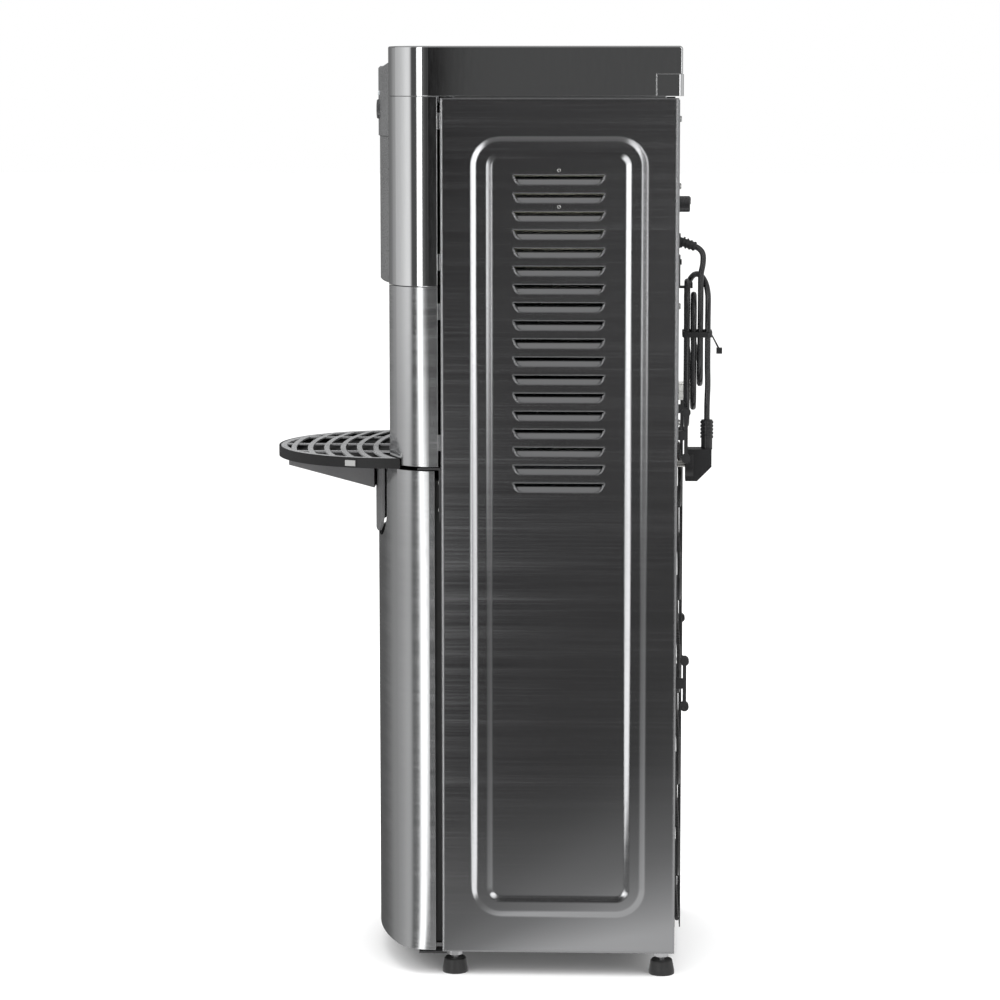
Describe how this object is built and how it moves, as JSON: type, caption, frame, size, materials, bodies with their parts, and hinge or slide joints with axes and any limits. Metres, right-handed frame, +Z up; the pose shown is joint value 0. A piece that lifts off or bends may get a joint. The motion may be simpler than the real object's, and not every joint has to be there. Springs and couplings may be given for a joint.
{
  "type": "bottom load water cooler",
  "caption": "Upright free-standing water cooler with a bowed front, swing door over a bottle bay, drip tray, dispensing niche, louvred sides and a hanked mains cord.",
  "frame": {"origin": "on the floor, under the middle of the two side panels", "axes": "+Z up, the bowed front and its door face -Y, +X is the right-hand side seen from the front"},
  "size_m": [0.313, 0.5129, 1.05],
  "materials": {
    "cabinet_sheet": "dark grey metallic with a fine level brushing, satin",
    "plain_sheet": "pale zinc-grey sheet, dull",
    "dark_sheet": "black painted sheet, dull",
    "fascia_bright": "mirror-bright metal",
    "fascia_brushed": "level brushed metal, satin",
    "lid_dark": "dark grey, mirror-like",
    "black_plastic": "black moulded plastic, satin",
    "gloss_black": "black moulded plastic, glossy",
    "visor_grey": "mid-grey moulded plastic, semi-gloss",
    "bracket_grey": "mid-grey moulded plastic, satin",
    "grey_plastic": "mid-grey moulded plastic",
    "white_plastic": "white moulded plastic",
    "lens": "clear pale lens",
    "rubber": "black rubber",
    "steel": "bare steel",
    "stainless": "stainless steel, brushed",
    "foam": "pale insulating foam, matt",
    "board": "green board with components",
    "hose": "pale translucent hose",
    "condenser_black": "black enamel, semi-gloss",
    "cord_rubber": "black flexible sheath, satin",
    "plug_plastic": "black moulded plastic",
    "brass_pins": "bright plated pins",
    "grille_silver": "silver-grey plastic, bright"
  },
  "bodies": {
    "cabinet": {"side_panel_right": "cabinet_sheet", "side_panel_left": "cabinet_sheet", "base_pan": "dark_sheet", "mid_shelf": "plain_sheet", "tank_shelf": "plain_sheet", "rear_panel_lower": "plain_sheet", "rear_panel_upper": "plain_sheet", "top_lid": "lid_dark", "lid_corner_blocks": "lid_dark", "upper_fascia": "fascia_bright", "middle_fascia_right": "fascia_brushed", "middle_fascia_left": "fascia_brushed", "niche_liner": "black_plastic", "visor": "visor_grey", "control_panel": "visor_grey", "indicator_lenses": "lens", "control_boards": "board", "nozzles": "white_plastic", "pump_and_valves": "white_plastic", "door_hinges": "dark_sheet", "foot_studs": "steel", "compressor": "dark_sheet", "compressor_grommets": "rubber", "hot_tank": "stainless", "cold_tank": "stainless", "tank_insulation": "foam", "refrigerant_circuit": "condenser_black", "water_hoses": "hose", "bottle_probe": "white_plastic", "condenser_tube": "condenser_black", "condenser_wires": "condenser_black", "wall_spacers": "grey_plastic", "switch_bezel": "black_plastic", "drain_spout": "white_plastic", "case_screws": "steel", "cord_relief": "black_plastic", "cord_hook": "black_plastic", "cord_lead": "cord_rubber", "cord_hank": "cord_rubber", "cord_tail": "cord_rubber", "cord_tie": "cord_rubber", "plug_body": "plug_plastic", "plug_pins": "brass_pins"},
    "door": {"door_skin": "fascia_brushed", "door_liner": "black_plastic", "door_gasket": "rubber", "tray_bracket": "bracket_grey"},
    "tray": {"drip_tray": "black_plastic"},
    "grille": {"tray_grille": "grille_silver"},
    "push_hot": {"button_hot": "grey_plastic"},
    "push_room": {"button_room": "grey_plastic"},
    "push_cold": {"button_cold": "grey_plastic"},
    "rocker_left": {"rocker_cooling": "gloss_black"},
    "rocker_right": {"rocker_heating": "gloss_black"},
    "knob": {"thermostat_knob": "black_plastic"},
    "cap": {"drain_cap": "white_plastic"},
    "levelling_foot_fl": {"foot_front_left": "rubber"},
    "levelling_foot_fr": {"foot_front_right": "rubber"},
    "levelling_foot_rl": {"foot_rear_left": "rubber"},
    "levelling_foot_rr": {"foot_rear_right": "rubber"}
  },
  "joints": [
    {"name": "door_hinge", "type": "hinge", "parent": "cabinet", "child": "door", "pos_m": [0.147, -0.15, 0.303], "axis": [0, 0, 1], "range_deg": [0, 110]},
    {"name": "tray_slide", "type": "slide", "parent": "door", "child": "tray", "axis": [0, -1, 0], "range_m": [0, 0.14]},
    {"name": "grille_lift", "type": "slide", "parent": "tray", "child": "grille", "axis": [0, 0, 1], "range_m": [0, 0.06]},
    {"name": "button_hot_push", "type": "slide", "parent": "cabinet", "child": "push_hot", "axis": [0, 1, 0], "range_m": [0, 0.002], "stiffness_N_per_m": 400},
    {"name": "button_room_push", "type": "slide", "parent": "cabinet", "child": "push_room", "axis": [0, 1, 0], "range_m": [0, 0.002], "stiffness_N_per_m": 400},
    {"name": "button_cold_push", "type": "slide", "parent": "cabinet", "child": "push_cold", "axis": [0, 1, 0], "range_m": [0, 0.002], "stiffness_N_per_m": 400},
    {"name": "switch_left_rock", "type": "hinge", "parent": "cabinet", "child": "rocker_left", "pos_m": [-0.1085, 0.1312, 0.905], "axis": [1, 0, 0], "range_deg": [0, 16]},
    {"name": "switch_right_rock", "type": "hinge", "parent": "cabinet", "child": "rocker_right", "pos_m": [-0.0875, 0.1312, 0.905], "axis": [1, 0, 0], "range_deg": [0, 16]},
    {"name": "thermostat_turn", "type": "hinge", "parent": "cabinet", "child": "knob", "pos_m": [0.118, 0.1335, 0.8753], "axis": [0, 1, 0], "range_deg": [-135, 135]},
    {"name": "drain_cap_turn", "type": "hinge", "parent": "cabinet", "child": "cap", "pos_m": [-0.04, 0.1422, 0.65], "axis": [0, 1, 0], "continuous": true},
    {"name": "foot_fl_turn", "type": "hinge", "parent": "cabinet", "child": "levelling_foot_fl", "pos_m": [-0.138, -0.1178, 0.009], "axis": [0, 0, 1], "continuous": true},
    {"name": "foot_fr_turn", "type": "hinge", "parent": "cabinet", "child": "levelling_foot_fr", "pos_m": [0.138, -0.1178, 0.009], "axis": [0, 0, 1], "continuous": true},
    {"name": "foot_rl_turn", "type": "hinge", "parent": "cabinet", "child": "levelling_foot_rl", "pos_m": [-0.138, 0.1178, 0.009], "axis": [0, 0, 1], "continuous": true},
    {"name": "foot_rr_turn", "type": "hinge", "parent": "cabinet", "child": "levelling_foot_rr", "pos_m": [0.138, 0.1178, 0.009], "axis": [0, 0, 1], "continuous": true}
  ]
}
